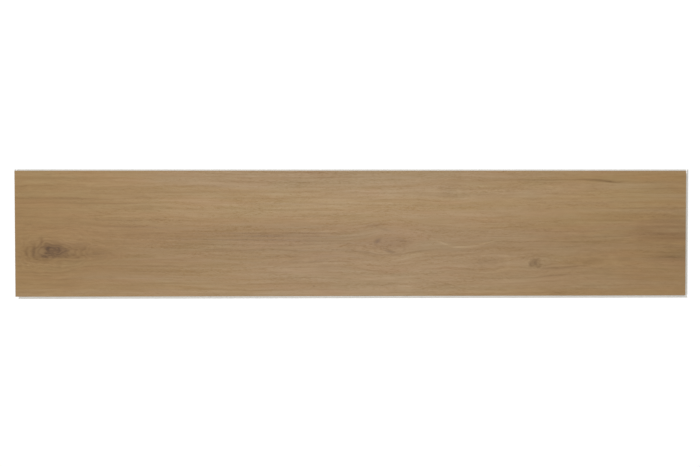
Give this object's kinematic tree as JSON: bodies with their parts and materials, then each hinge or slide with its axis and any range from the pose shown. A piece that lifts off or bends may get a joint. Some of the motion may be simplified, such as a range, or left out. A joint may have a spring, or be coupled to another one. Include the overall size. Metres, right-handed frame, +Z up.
{
  "type": "rigid core vinyl plank",
  "caption": "Long flat wood-look floor plank with a stone-filled vinyl core and click-lock edges milled on all four sides.",
  "frame": {"origin": "on the underside, below the middle of the wear face", "axes": "+X along the plank towards the hooked short end, +Y across it towards the tongue, +Z up out of the wear face"},
  "size_m": [1.2248, 0.2348, 0.005],
  "materials": {
    "plank": "printed wood decor under a satin wear film, on a pale stone-filled vinyl core"
  },
  "bodies": {
    "root": {"plank": "plank"}
  },
  "joints": []
}
